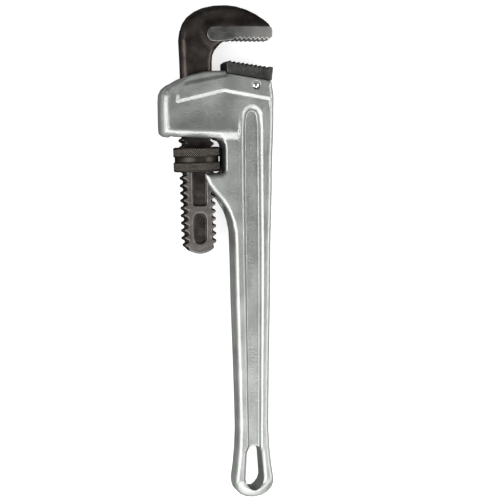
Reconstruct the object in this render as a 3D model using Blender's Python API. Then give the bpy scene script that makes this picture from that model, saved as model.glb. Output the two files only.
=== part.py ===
"""Straight pipe wrench, 450 mm nominal size, lying flat.

The wrench lies on its side: +Y runs from the handle's end to the jaws, +X from the adjusting nut's
side to the handle's back, and +Z up through the thickness. The origin is under the middle of the
bounding box. Every outline below is in millimetres, in that frame, with z counted from the
wrench's middle plane. The pieces are the cast handle with its housing, the hook jaw with its
threaded shank, the adjusting nut, the heel jaw with its pin, and the flat spring, its rivet and
the coil spring that lean the hook jaw towards the heel jaw.
"""
import math

import bmesh
import bpy
from mathutils import Matrix, Vector

MM = 0.001

# Adjusting nut. It is the thickest piece, so its radius sets the height of the middle plane.
NUT_RADIUS = 19.0
NUT_HEIGHT = 20.0
NUT_CENTRE = (-16.1, 79.4)
NUT_GROOVE_DEPTH = 1.1
NUT_GROOVE_HALF = 2.1
NUT_CORNER = 1.3
MID_Z = NUT_RADIUS

# Shank thread: one start, right-handed. The shank leans 0.9 degrees from the handle.
SHANK_LEAN = math.radians(0.9)
THREAD_RADIUS = 14.45
THREAD_ROOT = 11.85
THREAD_PITCH = 6.1
THREAD_CREST = 1.5
THREAD_FLANK = 1.45
THREAD_STEPS = 28
THREAD_PHASE = -42.3
THREAD_FIT_RADIAL = 0.35
THREAD_FIT_AXIAL = 0.2
SHANK_HALF = 7.2
SHANK_LOW = -76.9
SHANK_TOP = 28.5
SHANK_END_RADIUS = 16.0

# Hook jaw.
HOOK_HALF = 9.0
HOOK_ROUND = 3.4
STRIP_HALF = 10.0
HOOK_TOOTH_PITCH = 3.75
HOOK_TOOTH_COUNT = 8
HOOK_TOOTH_DEPTH = 2.0
HOOK_TOOTH_X = 13.0
HOOK_TOOTH_Y = 175.4

# Casting: handle and housing.
CAST_HALF = 13.0
PANEL_HALF = 14.0
CAST_ROUND = 2.8
GRIP_CENTRE = 27.8
GRIP_CHANNEL_CENTRE = 28.2
CHANNEL_LEFT = -38.8
CHANNEL_RIGHT = -1.0
CHANNEL_HALF = 9.6
FORK_RIGHT = 8.0
FORK_HALF = 8.2
# Half thickness of the handle at these heights.
GRIP_TAPER = ((60.0, 13.0), (12.0, 13.0), (-38.0, 12.3), (-89.0, 11.3), (-146.0, 10.3),
              (-178.0, 10.6), (-189.0, 11.0), (-204.0, 9.6))
# Channel on each face: height, half width at the lip, half width of the floor, depth.
GRIP_CHANNEL = ((123.6, 1.6, 0.4, 1.2), (121.8, 5.2, 2.2, 3.0), (118.0, 7.8, 4.4, 4.2),
                (112.0, 8.8, 5.6, 4.4), (60.0, 8.8, 5.6, 4.4), (5.0, 8.6, 5.4, 4.4),
                (-60.0, 7.8, 4.8, 4.2), (-120.0, 6.9, 4.3, 3.8), (-152.0, 6.5, 4.1, 3.6),
                (-166.0, 5.5, 3.6, 3.6))
# Hanging hole: height and half width.
HANG_HOLE = ((-160.6, 1.8), (-162.0, 4.3), (-165.5, 5.8), (-176.0, 6.6), (-187.0, 7.3),
             (-191.5, 6.4), (-194.6, 4.2), (-196.3, 1.6))

# Heel jaw and its pin.
HEEL_HALF = 12.0
HEEL_TOOTH_COUNT = 9
HEEL_TOOTH_DEPTH = 1.7
HEEL_FIRST = (10.4, 158.9)
HEEL_LAST = (46.3, 153.7)
TONGUE_HALF = 6.0
TONGUE = ((16.0, 147.0), (40.0, 143.1), (40.0, 132.0), (16.0, 132.0))
PIN_CENTRE = (31.3, 139.1)
PIN_RADIUS = 3.4
PIN_HALF = 12.9
PIN_FIT = 0.05
GAP = 0.3

# Springs.
SPRING_Y = 108.5
LEAF_HALF = 6.0
LEAF_THICK = 0.7
LEAF_PATH = ((-38.3, 134.0), (-38.3, 123.5), (-35.6, 116.0), (-32.6, 108.5), (-32.2, 105.5),
             (-33.6, 101.6))
RIVET_Y = 129.0
RIVET_RADIUS = 1.5
RIVET_HEAD = 2.8
COIL_RADIUS = 3.5
COIL_WIRE = 0.55
COIL_TURNS = 4.0
COIL_X = (-42.6, -35.4)
COIL_POCKET = (-43.4, 4.6)

# Outlines, anticlockwise seen from above.
HANDLE_OUTLINE = (
    (6.9, 151.1), (-2.9, 151.1), (-11.9, 150.4), (-22.6, 147.7), (-32.0, 143.6), (-38.7, 139.7),
    (-43.4, 135.9), (-46.0, 131.5), (-46.8, 126.0), (-47.0, 106.0), (-46.3, 101.3), (-43.4, 98.5),
    (-33.4, 96.8), (-16.0, 95.4), (0.0, 94.5), (2.8, 93.6), (4.6, 91.6), (5.1, 88.5), (5.1, 71.0),
    (4.3, 69.2), (2.6, 68.5), (-12.0, 68.5), (-11.3, 64.0), (-8.9, 58.4), (-4.2, 52.0),
    (2.0, 44.9), (7.0, 36.8), (10.6, 28.0), (12.3, 20.0), (12.7, 10.0), (13.3, -38.0),
    (14.5, -89.0), (15.1, -123.0), (15.3, -146.0), (14.6, -162.0), (13.2, -176.0), (11.6, -187.0),
    (11.3, -191.0), (12.4, -196.0), (16.0, -200.4), (21.3, -203.1), (27.8, -204.0),
    (34.3, -203.1), (39.6, -200.4), (43.2, -196.0), (44.3, -191.0), (44.0, -187.0),
    (42.4, -176.0), (41.0, -162.0), (40.3, -146.0), (40.5, -123.0), (41.1, -89.0),
    (42.3, -38.0), (43.0, 10.0), (44.1, 40.0), (45.2, 70.0), (46.4, 92.0), (47.0, 110.0),
    (47.0, 131.0), (45.9, 138.0), (44.6, 142.9), (6.9, 149.1))
PANEL_OUTLINE = (
    (-34.6, 131.6), (-35.2, 125.6), (-34.4, 124.8), (4.2, 133.8), (42.6, 127.0), (43.8, 128.2),
    (43.6, 137.4), (42.8, 140.6), (6.0, 146.7), (-11.4, 144.5), (-24.6, 141.9), (-28.6, 140.2))
HOOK_OUTLINE = (
    (-3.1, 106.6), (-3.1, 158.0), (-2.5, 163.6), (-0.6, 168.8), (2.9, 173.2), (7.5, 176.2),
    (13.0, 178.6), (42.5, 178.6), (45.6, 181.0), (46.3, 185.4), (44.6, 189.2), (40.8, 192.6),
    (33.9, 197.0), (25.9, 200.8), (17.2, 203.2), (9.0, 204.0), (-1.2, 203.4), (-10.2, 201.4),
    (-16.7, 198.4), (-22.4, 194.2), (-26.2, 188.8), (-28.6, 182.0), (-29.5, 175.6),
    (-28.9, 160.0), (-28.5, 145.0), (-28.5, 106.6))
STRIP_TOP = ((46.6, 178.4), (46.8, 183.6), (45.8, 186.2), (42.6, 187.0), (-2.2, 186.6),
             (-5.4, 185.6), (-7.6, 183.2), (-8.4, 180.2), (-7.6, 177.2), (-5.4, 174.9),
             (-2.4, 174.1), (5.5, 174.4), (10.0, 175.4))


def clear_scene():
    """Remove every object."""
    for obj in list(bpy.data.objects):
        bpy.data.objects.remove(obj, do_unlink=True)


def at(x, y, z=0.0):
    """Point in metres from millimetres, with z counted from the middle plane."""
    return Vector((x * MM, y * MM, (MID_Z + z) * MM))


def along_shank(s):
    """Point on the shank's axis, s millimetres from the nut's centre towards the jaws."""
    x = NUT_CENTRE[0] - math.sin(SHANK_LEAN) * s
    y = NUT_CENTRE[1] + math.cos(SHANK_LEAN) * s
    return at(x, y)


def add_object(name, bm, origin=None):
    """Turn a bmesh in world coordinates into an object with its origin at the given point."""
    bmesh.ops.recalc_face_normals(bm, faces=bm.faces)
    if origin is not None:
        bmesh.ops.translate(bm, vec=-origin, verts=bm.verts)
    mesh = bpy.data.meshes.new(name)
    bm.to_mesh(mesh)
    bm.free()
    obj = bpy.data.objects.new(name, mesh)
    if origin is not None:
        obj.location = origin
    bpy.context.scene.collection.objects.link(obj)
    return obj


def add_helper(name, bm):
    """An object that only shapes another one."""
    obj = add_object(name, bm)
    obj.hide_render = True
    obj.display_type = "WIRE"
    return obj


def combine(obj, other, operation):
    """Boolean of two objects, kept as a modifier on the first."""
    mod = obj.modifiers.new(other.name, "BOOLEAN")
    mod.operation = operation
    mod.solver = "EXACT"
    mod.object = other


def add_prism(bm, outline, low, high):
    """Extrude an outline from z = low to z = high."""
    verts = [bm.verts.new(at(x, y, low)) for x, y in outline]
    face = bm.faces.new(verts)
    grown = bmesh.ops.extrude_face_region(bm, geom=[face])
    moved = [item for item in grown["geom"] if isinstance(item, bmesh.types.BMVert)]
    bmesh.ops.translate(bm, vec=Vector((0.0, 0.0, (high - low) * MM)), verts=moved)


def prism(outline, low, high):
    """A new bmesh holding one extruded outline."""
    bm = bmesh.new()
    add_prism(bm, outline, low, high)
    bmesh.ops.recalc_face_normals(bm, faces=bm.faces)
    return bm


def round_rims(bm, half, width, segments, keep=None):
    """Round the edges of both flat faces, except where keep says an edge stays sharp."""
    rims = []
    for edge in bm.edges:
        heights = [v.co.z / MM - MID_Z for v in edge.verts]
        if abs(sum(heights)) < 2.0 * half - 0.01:
            continue
        middle = (edge.verts[0].co + edge.verts[1].co) / 2.0 / MM
        if keep is None or not keep(middle.x, middle.y):
            rims.append(edge)
    bmesh.ops.bevel(bm, geom=rims, offset=width * MM, segments=segments, profile=0.5,
                    affect="EDGES", clamp_overlap=False)


def loft(bm, loops):
    """Join loops of equal length into one closed tube with flat ends."""
    rings = [[bm.verts.new(point) for point in loop] for loop in loops]
    count = len(rings[0])
    for low, high in zip(rings, rings[1:]):
        for i in range(count):
            j = (i + 1) % count
            bm.faces.new((low[i], low[j], high[j], high[i]))
    bm.faces.new(rings[0])
    bm.faces.new(list(reversed(rings[-1])))


def add_drum(bm, centre, axis, profile, steps):
    """Closed solid of revolution: profile is (distance along the axis, radius) in millimetres."""
    turn = Vector((0.0, 0.0, 1.0)).rotation_difference(axis).to_matrix()
    loops = []
    for distance, radius in profile:
        loop = []
        for i in range(steps):
            angle = 2.0 * math.pi * i / steps
            flat = Vector((math.cos(angle), math.sin(angle), 0.0)) * radius * MM
            loop.append(centre + turn @ flat + axis * distance * MM)
        loops.append(loop)
    loft(bm, loops)


def taper(table, y):
    """Straight-line reading of a (height, value) table that runs downwards."""
    if y >= table[0][0]:
        return table[0][1]
    for (y0, v0), (y1, v1) in zip(table, table[1:]):
        if y >= y1:
            return v0 + (v1 - v0) * (y0 - y) / (y0 - y1)
    return table[-1][1]


def thread_body(crest, root, crest_half, flank, low, high):
    """Threaded rod on the shank's axis, cut square at both ends."""
    bm = bmesh.new()
    axis = Vector((-math.sin(SHANK_LEAN), math.cos(SHANK_LEAN), 0.0))
    side = Vector((math.cos(SHANK_LEAN), math.sin(SHANK_LEAN), 0.0))
    up = Vector((0.0, 0.0, 1.0))
    form = ((-crest_half, crest), (crest_half, crest), (crest_half + flank, root),
            (THREAD_PITCH - crest_half - flank, root))
    turns = int((high - low) / THREAD_PITCH) + 4
    first = math.floor((low - THREAD_PHASE) / THREAD_PITCH) - 2
    columns = []
    for i in range(THREAD_STEPS):
        angle = 2.0 * math.pi * i / THREAD_STEPS
        radial = side * math.sin(angle) + up * math.cos(angle)
        column = []
        for k in range(turns + 1):
            base = THREAD_PHASE + THREAD_PITCH * (first + k + (angle - math.pi / 2.0) / 2.0 / math.pi)
            for shift, radius in form:
                column.append(bm.verts.new(along_shank(base + shift) + radial * radius * MM))
        columns.append(column)
    size = len(form)
    for i in range(THREAD_STEPS):
        shift = size if i == THREAD_STEPS - 1 else 0
        here = columns[i]
        there = columns[(i + 1) % THREAD_STEPS]
        for j in range(len(here) - 1 - shift):
            bm.faces.new((here[j], there[j + shift], there[j + shift + 1], here[j + 1]))
    for distance, normal in ((low, -axis), (high, axis)):
        geom = list(bm.verts) + list(bm.edges) + list(bm.faces)
        bmesh.ops.bisect_plane(bm, geom=geom, dist=1e-7, plane_co=along_shank(distance),
                               plane_no=normal, clear_outer=True)
        rim = [edge for edge in bm.edges if edge.is_boundary]
        rim = [edge for edge in rim
               if all(abs((v.co - along_shank(distance)).dot(axis)) < 1e-6 for v in edge.verts)]
        bmesh.ops.edgeloop_fill(bm, edges=rim)
    bmesh.ops.recalc_face_normals(bm, faces=bm.faces)
    return bm


def build_handle():
    """Cast handle and housing in one piece."""
    bm = prism(HANDLE_OUTLINE, -CAST_HALF, CAST_HALF)
    round_rims(bm, CAST_HALF, CAST_ROUND, 3, keep=lambda x, y: x > 6.8 and y > 142.0)
    for height, _ in GRIP_TAPER[1:-1]:
        geom = list(bm.verts) + list(bm.edges) + list(bm.faces)
        bmesh.ops.bisect_plane(bm, geom=geom, dist=1e-7, plane_co=at(0.0, height),
                               plane_no=Vector((0.0, 1.0, 0.0)))
    for vert in bm.verts:
        ratio = taper(GRIP_TAPER, vert.co.y / MM) / CAST_HALF
        vert.co.z = MID_Z * MM + (vert.co.z - MID_Z * MM) * ratio
    handle = add_object("handle", bm)

    bm = bmesh.new()
    for sign in (-1.0, 1.0):
        start = len(bm.verts)
        add_prism(bm, PANEL_OUTLINE, sign * (CAST_HALF - 2.0), sign * PANEL_HALF)
        bm.verts.ensure_lookup_table()
        for vert in bm.verts[start:]:
            if abs(vert.co.z / MM - MID_Z) < CAST_HALF:
                vert.co = at(5.0, 137.0, vert.co.z / MM - MID_Z) + (vert.co - at(
                    5.0, 137.0, vert.co.z / MM - MID_Z)) * 1.02
    combine(handle, add_helper("add_panels", bm), "UNION")

    bm = bmesh.new()
    for sign in (-1.0, 1.0):
        loops = []
        for y, lip, floor, depth in GRIP_CHANNEL:
            half = taper(GRIP_TAPER, y)
            wide = lip + (lip - floor) / depth * 1.0
            loops.append([at(GRIP_CHANNEL_CENTRE + x, y, sign * z) for x, z in (
                (-wide, half + 1.0), (-floor, half - depth), (floor, half - depth),
                (wide, half + 1.0))])
        loft(bm, loops)
    combine(handle, add_helper("cut_channels", bm), "DIFFERENCE")

    left = [(GRIP_CENTRE - half, y) for y, half in HANG_HOLE]
    right = [(GRIP_CENTRE + half, y) for y, half in reversed(HANG_HOLE)]
    bm = prism(left + right, -20.0, 20.0)
    combine(handle, add_helper("cut_hang_hole", bm), "DIFFERENCE")

    bm = prism(((CHANNEL_LEFT, 90.0), (CHANNEL_RIGHT, 90.0), (CHANNEL_RIGHT, 160.0),
                (CHANNEL_LEFT, 160.0)), -CHANNEL_HALF, CHANNEL_HALF)
    combine(handle, add_helper("cut_shank_channel", bm), "DIFFERENCE")

    bm = prism(((-30.0, 20.0), (FORK_RIGHT, 20.0), (FORK_RIGHT, 64.0), (5.0, 75.0),
                (-30.0, 75.0)), -FORK_HALF, FORK_HALF)
    combine(handle, add_helper("cut_fork", bm), "DIFFERENCE")

    bm = prism(((TONGUE[0][0] - GAP, 160.0), (TONGUE[0][0] - GAP, TONGUE[3][1] - GAP),
                (TONGUE[1][0] + GAP, TONGUE[3][1] - GAP), (TONGUE[1][0] + GAP, 160.0)),
               -TONGUE_HALF - GAP, TONGUE_HALF + GAP)
    combine(handle, add_helper("cut_tongue_slot", bm), "DIFFERENCE")

    bm = bmesh.new()
    add_drum(bm, at(*PIN_CENTRE), Vector((0.0, 0.0, 1.0)),
             ((-20.0, PIN_RADIUS + PIN_FIT), (20.0, PIN_RADIUS + PIN_FIT)), 32)
    combine(handle, add_helper("cut_pin_hole", bm), "DIFFERENCE")

    bm = bmesh.new()
    add_drum(bm, at(COIL_POCKET[0], SPRING_Y), Vector((1.0, 0.0, 0.0)),
             ((0.0, COIL_POCKET[1]), (8.0, COIL_POCKET[1])), 24)
    combine(handle, add_helper("cut_spring_pocket", bm), "DIFFERENCE")

    bm = bmesh.new()
    add_drum(bm, at(-42.4, RIVET_Y), Vector((1.0, 0.0, 0.0)),
             ((0.0, RIVET_RADIUS + PIN_FIT), (8.0, RIVET_RADIUS + PIN_FIT)), 16)
    combine(handle, add_helper("cut_rivet_hole", bm), "DIFFERENCE")
    return handle


def tooth_row(first, last, count, depth):
    """Saw-tooth points from first to last, tips on the line and roots below or above it."""
    (x0, y0), (x1, y1) = first, last
    points = []
    for i in range(count):
        a = i / count
        b = (i + 0.62) / count
        points.append((x0 + (x1 - x0) * a, y0 + (y1 - y0) * a))
        points.append((x0 + (x1 - x0) * b, y0 + (y1 - y0) * b + depth))
    points.append((x1, y1))
    return points


def build_hook_jaw():
    """Hook jaw: head, neck and threaded shank."""
    origin = along_shank(0.0)
    bm = prism(HOOK_OUTLINE, -HOOK_HALF, HOOK_HALF)
    round_rims(bm, HOOK_HALF, HOOK_ROUND, 3, keep=lambda x, y: y < 107.0)
    hook = add_object("hook_jaw", bm, origin)

    last = (HOOK_TOOTH_X + HOOK_TOOTH_PITCH * HOOK_TOOTH_COUNT, HOOK_TOOTH_Y)
    teeth = tooth_row((HOOK_TOOTH_X, HOOK_TOOTH_Y), last, HOOK_TOOTH_COUNT, HOOK_TOOTH_DEPTH)
    bm = prism(teeth + list(STRIP_TOP), -STRIP_HALF, STRIP_HALF)
    combine(hook, add_helper("add_tooth_strip", bm), "UNION")

    bm = thread_body(THREAD_RADIUS, THREAD_ROOT, THREAD_CREST / 2.0, THREAD_FLANK,
                     SHANK_LOW - 2.0, SHANK_TOP)
    rod = add_helper("add_shank", bm)
    low = along_shank(SHANK_LOW + SHANK_END_RADIUS) / MM
    ends = [(low.x + SHANK_END_RADIUS * math.cos(math.radians(a)),
             low.y + SHANK_END_RADIUS * math.sin(math.radians(a))) for a in range(-180, 1, 12)]
    bm = prism(ends + [(4.0, 120.0), (-36.0, 120.0)], -SHANK_HALF, SHANK_HALF)
    combine(rod, add_helper("trim_shank", bm), "INTERSECT")
    combine(hook, rod, "UNION")

    bm = bmesh.new()
    for sign in (-1.0, 1.0):
        low_pocket = [(-15.3 + 5.7 * math.cos(math.radians(a)),
                       16.4 + 5.7 * math.sin(math.radians(a))) for a in range(180, 361, 20)]
        low_pocket += [(-15.5 + 5.7 * math.cos(math.radians(a)),
                        30.6 + 5.7 * math.sin(math.radians(a))) for a in range(0, 181, 20)]
        high_pocket = ((-21.2, 43.4), (-19.4, 41.6), (-11.2, 41.6), (-9.4, 43.4), (-10.0, 76.0),
                       (-11.8, 77.8), (-20.0, 77.8), (-21.8, 76.0))
        add_prism(bm, low_pocket, sign * (SHANK_HALF - 1.6), sign * (SHANK_HALF + 2.0))
        add_prism(bm, high_pocket, sign * (SHANK_HALF - 1.6), sign * (SHANK_HALF + 2.0))
    combine(hook, add_helper("cut_shank_pockets", bm), "DIFFERENCE")
    return hook


def build_adjusting_nut():
    """Ring nut with two grip bands and a threaded bore."""
    half = NUT_HEIGHT / 2.0
    axis = Vector((-math.sin(SHANK_LEAN), math.cos(SHANK_LEAN), 0.0))
    groove = NUT_RADIUS - NUT_GROOVE_DEPTH
    profile = ((-half, NUT_RADIUS - NUT_CORNER), (-half + NUT_CORNER, NUT_RADIUS),
               (-NUT_GROOVE_HALF - 0.4, NUT_RADIUS), (-NUT_GROOVE_HALF, groove),
               (NUT_GROOVE_HALF, groove), (NUT_GROOVE_HALF + 0.4, NUT_RADIUS),
               (half - NUT_CORNER, NUT_RADIUS), (half, NUT_RADIUS - NUT_CORNER))
    bm = bmesh.new()
    add_drum(bm, along_shank(0.0), axis, profile, 48)
    nut = add_object("adjusting_nut", bm, along_shank(0.0))
    bm = thread_body(THREAD_RADIUS + THREAD_FIT_RADIAL, THREAD_ROOT + THREAD_FIT_RADIAL,
                     THREAD_CREST / 2.0 + THREAD_FIT_AXIAL, THREAD_FLANK, -half - 2.0, half + 2.0)
    combine(nut, add_helper("cut_nut_thread", bm), "DIFFERENCE")
    return nut


def build_heel_jaw():
    """Toothed heel jaw with the tongue that drops into the housing."""
    teeth = tooth_row(HEEL_FIRST, HEEL_LAST, HEEL_TOOTH_COUNT, -HEEL_TOOTH_DEPTH)
    outline = [(7.5, 149.4), (45.0, 143.2), (46.3, HEEL_LAST[1])]
    outline += list(reversed(teeth))[1:] + [(7.5, 157.0)]
    heel = add_object("heel_jaw", prism(outline, -HEEL_HALF, HEEL_HALF))
    tongue = prism(((16.0, 150.0), (16.0, 132.0), (40.0, 132.0), (40.0, 146.0)),
                   -TONGUE_HALF, TONGUE_HALF)
    combine(heel, add_helper("add_tongue", tongue), "UNION")
    bm = bmesh.new()
    add_drum(bm, at(*PIN_CENTRE), Vector((0.0, 0.0, 1.0)),
             ((-9.0, PIN_RADIUS + PIN_FIT), (9.0, PIN_RADIUS + PIN_FIT)), 32)
    combine(heel, add_helper("cut_tongue_hole", bm), "DIFFERENCE")
    return heel


def build_heel_jaw_pin():
    """Cross pin that holds the heel jaw's tongue."""
    bm = bmesh.new()
    add_drum(bm, at(*PIN_CENTRE), Vector((0.0, 0.0, 1.0)),
             ((-PIN_HALF, PIN_RADIUS - 0.5), (-PIN_HALF + 0.5, PIN_RADIUS),
              (PIN_HALF - 0.5, PIN_RADIUS), (PIN_HALF, PIN_RADIUS - 0.5)), 32)
    return add_object("heel_jaw_pin", bm)


def build_flat_spring():
    """Leaf spring held on the housing's inner wall, leaning on the shank."""
    half = LEAF_THICK / 2.0
    sides = ([], [])
    for i, (x, y) in enumerate(LEAF_PATH):
        before = Vector(LEAF_PATH[max(i - 1, 0)])
        after = Vector(LEAF_PATH[min(i + 1, len(LEAF_PATH) - 1)])
        run = (after - before).normalized()
        sides[0].append((x - run.y * half, y + run.x * half))
        sides[1].append((x + run.y * half, y - run.x * half))
    outline = sides[0] + list(reversed(sides[1]))
    spring = add_object("flat_spring", prism(outline, -LEAF_HALF, LEAF_HALF))
    bm = bmesh.new()
    add_drum(bm, at(-41.0, RIVET_Y), Vector((1.0, 0.0, 0.0)),
             ((0.0, RIVET_RADIUS + PIN_FIT), (6.0, RIVET_RADIUS + PIN_FIT)), 16)
    combine(spring, add_helper("cut_leaf_hole", bm), "DIFFERENCE")
    return spring


def build_spring_rivet():
    """Rivet that holds the flat spring to the housing's inner wall."""
    inner = LEAF_PATH[0][0] + LEAF_THICK / 2.0 + 0.05
    bm = bmesh.new()
    add_drum(bm, at(0.0, RIVET_Y), Vector((1.0, 0.0, 0.0)),
             ((-42.2, RIVET_RADIUS), (inner, RIVET_RADIUS), (inner, RIVET_HEAD),
              (inner + 0.5, RIVET_HEAD), (inner + 1.1, RIVET_HEAD * 0.6)), 16)
    return add_object("spring_rivet", bm)


def build_coil_spring():
    """Compression spring between the housing's wall and the flat spring."""
    steps = int(COIL_TURNS * 14)
    loops = []
    for i in range(steps + 1):
        part = i / steps
        angle = 2.0 * math.pi * COIL_TURNS * part
        x = COIL_X[0] + (COIL_X[1] - COIL_X[0]) * part
        out = Vector((0.0, math.cos(angle), math.sin(angle)))
        centre = at(x, SPRING_Y) + out * COIL_RADIUS * MM
        loop = []
        for k in range(8):
            turn = 2.0 * math.pi * k / 8
            shift = out * math.cos(turn) + Vector((1.0, 0.0, 0.0)) * math.sin(turn)
            loop.append(centre + shift * COIL_WIRE * MM)
        loops.append(loop)
    bm = bmesh.new()
    loft(bm, loops)
    return add_object("coil_spring", bm, along_shank(0.0))


def paint(obj, colour, metallic, roughness):
    """Give a node its own Principled material."""
    material = bpy.data.materials.new(obj.name + "_material")
    material.use_nodes = True
    shader = material.node_tree.nodes["Principled BSDF"]
    shader.inputs["Base Color"].default_value = colour + (1.0,)
    shader.inputs["Metallic"].default_value = metallic
    shader.inputs["Roughness"].default_value = roughness
    obj.data.materials.append(material)


def main():
    clear_scene()
    paint(build_handle(), (0.36, 0.38, 0.36), 0.6, 0.45)
    paint(build_hook_jaw(), (0.03, 0.027, 0.025), 0.5, 0.45)
    paint(build_adjusting_nut(), (0.07, 0.06, 0.05), 0.6, 0.45)
    paint(build_heel_jaw(), (0.08, 0.08, 0.078), 0.6, 0.45)
    paint(build_heel_jaw_pin(), (0.6, 0.6, 0.6), 1.0, 0.3)
    paint(build_flat_spring(), (0.12, 0.12, 0.13), 0.9, 0.35)
    paint(build_spring_rivet(), (0.45, 0.45, 0.45), 0.9, 0.4)
    paint(build_coil_spring(), (0.3, 0.3, 0.3), 1.0, 0.3)


main()
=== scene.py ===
"""Looks of the 450 mm straight pipe wrench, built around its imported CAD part.

The wrench lies on its side: +Y runs from the handle's end to the jaws, +X from the adjusting nut's
side to the handle's back and +Z up. Shapes are worked out in millimetres, with z counted from the
wrench's middle plane. The casting, the hook jaw, its tooth strip and the heel jaw come from
distance functions that are turned into meshes. The nut, the pin, the springs and the rivet are
modelled directly.
"""

import math

import bmesh
import bpy
import numpy as np
from mathutils import Matrix, Vector


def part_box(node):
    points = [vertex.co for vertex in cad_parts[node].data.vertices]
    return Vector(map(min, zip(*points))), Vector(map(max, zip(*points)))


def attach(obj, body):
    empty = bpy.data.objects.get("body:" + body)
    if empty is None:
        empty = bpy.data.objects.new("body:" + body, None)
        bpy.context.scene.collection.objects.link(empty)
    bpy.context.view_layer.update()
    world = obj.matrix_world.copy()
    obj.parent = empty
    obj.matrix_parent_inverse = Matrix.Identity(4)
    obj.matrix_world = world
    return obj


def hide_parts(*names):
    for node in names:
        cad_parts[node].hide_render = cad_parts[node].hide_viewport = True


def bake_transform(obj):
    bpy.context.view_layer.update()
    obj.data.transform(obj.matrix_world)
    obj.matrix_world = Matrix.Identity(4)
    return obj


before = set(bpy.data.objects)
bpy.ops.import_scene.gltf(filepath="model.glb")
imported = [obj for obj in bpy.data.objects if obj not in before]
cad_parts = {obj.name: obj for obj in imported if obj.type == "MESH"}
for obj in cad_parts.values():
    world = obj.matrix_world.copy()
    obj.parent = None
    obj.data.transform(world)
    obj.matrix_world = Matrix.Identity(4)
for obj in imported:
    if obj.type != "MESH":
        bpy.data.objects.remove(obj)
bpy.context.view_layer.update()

MM = 0.001
MID_Z = (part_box("adjusting_nut")[0].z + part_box("adjusting_nut")[1].z) / 2.0 / MM
# Grid step of the outlines' distance tables, and how far from an outline they reach.
TABLE_STEP = 0.25
TABLE_BAND = 10.0

# ---------------------------------------------------------------- dimensions, millimetres
LEAN = math.radians(0.9)
NUT_CENTRE = (-16.1, 79.4)
NUT_RADIUS = 19.0
NUT_HALF = 10.0
CAST_HALF = 12.3
PANEL_RISE = 1.2
DRAFT = 0.03
GRIP_CENTRE = 27.8
PIN_CENTRE = (31.3, 139.1)
PIN_RADIUS = 3.4
PIN_FIT = 0.05
HEEL_HALF = 12.0
TONGUE_HALF = 6.0
STRIP_HALF = 10.0
# Hook jaw: half thickness of the head, how much it rises beside the strip, shank.
HOOK_HALF = 8.2
HOOK_RISE = 1.45
SHANK_HALF = 7.2
THREAD_PITCH = 6.1
THREAD_CREST = 14.4
THREAD_ROOT = 11.85
# Room inside the casting: housing passage, recess beside the shank, heel jaw's slot.
PASSAGE_HALF = 9.6
FORK_RIGHT = 8.0
FORK_HALF = 8.2
SLOT_HALF = 6.3
SPRING_X = -39.0
SPRING_Y = 108.5
RIVET_Y = 129.0
RIVET_RADIUS = 1.45
LEAF_HALF = 6.0
LEAF_THICK = 0.66

HANDLE_OUTLINE = (
    (6.9, 151.1), (-2.9, 151.1), (-11.9, 150.4), (-22.6, 147.7), (-32.0, 143.8), (-39.2, 140.0),
    (-44.2, 136.2), (-46.6, 131.8), (-47.0, 126.0), (-47.0, 104.0), (-46.4, 99.9), (-43.4, 97.6),
    (-33.4, 96.8), (-16.0, 95.4), (0.0, 94.5), (2.8, 93.6), (4.6, 91.6), (5.1, 88.5), (5.1, 71.0),
    (4.3, 69.2), (2.6, 68.5), (-12.0, 68.5), (-11.3, 64.0), (-8.9, 58.4), (-4.2, 52.0),
    (2.0, 44.9), (7.0, 36.8), (10.6, 28.0), (12.3, 20.0), (12.7, 10.0), (13.3, -38.0),
    (14.5, -89.0), (15.1, -123.0), (15.3, -146.0), (14.6, -162.0), (13.2, -176.0), (11.6, -187.0),
    (11.3, -191.0), (12.4, -196.0), (16.0, -200.4), (21.3, -203.1), (27.8, -204.0),
    (34.3, -203.1), (39.6, -200.4), (43.2, -196.0), (44.3, -191.0), (44.0, -187.0),
    (42.4, -176.0), (41.0, -162.0), (40.3, -146.0), (40.5, -123.0), (41.1, -89.0),
    (42.3, -38.0), (43.0, 10.0), (44.1, 40.0), (45.2, 70.0), (46.4, 92.0), (47.0, 110.0),
    (47.0, 131.0), (45.9, 138.0), (44.6, 142.9), (6.9, 149.1))
PANEL_OUTLINE = (
    (-34.6, 131.6), (-35.2, 125.6), (-34.4, 124.8), (4.2, 133.8), (42.0, 127.1), (50.0, 127.1),
    (50.0, 146.0), (44.6, 146.0), (9.5, 151.8), (6.4, 147.6), (-11.4, 144.5), (-24.6, 141.9),
    (-28.6, 140.2))
HOOK_OUTLINE = (
    (-3.1, 106.6), (-3.1, 158.0), (-2.6, 163.0), (-1.0, 166.8), (3.6, 172.2), (8.6, 175.6),
    (13.0, 178.6), (42.5, 178.6), (45.6, 181.0), (46.3, 185.4), (44.6, 189.2), (40.8, 192.6),
    (33.9, 197.0), (25.9, 200.8), (17.2, 203.2), (9.0, 204.0), (-1.2, 203.4), (-10.2, 201.4),
    (-16.7, 198.4), (-22.4, 194.2), (-26.2, 188.8), (-28.6, 182.0), (-29.5, 175.6),
    (-28.9, 160.0), (-28.5, 145.0), (-28.5, 106.6))
STRIP_TOP = ((46.6, 178.4), (46.8, 183.6), (45.8, 186.2), (42.6, 187.0), (-2.2, 186.6),
             (-5.4, 185.6), (-7.6, 183.2), (-8.4, 180.2), (-7.6, 177.2), (-5.4, 174.9),
             (-2.4, 174.1), (5.5, 174.4), (10.0, 175.4))
GRIP_TAPER = ((-204.0, 9.6), (-189.0, 11.0), (-178.0, 10.6), (-146.0, 10.3), (-89.0, 11.2),
              (-38.0, 12.0), (12.0, CAST_HALF), (60.0, CAST_HALF))
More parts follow.
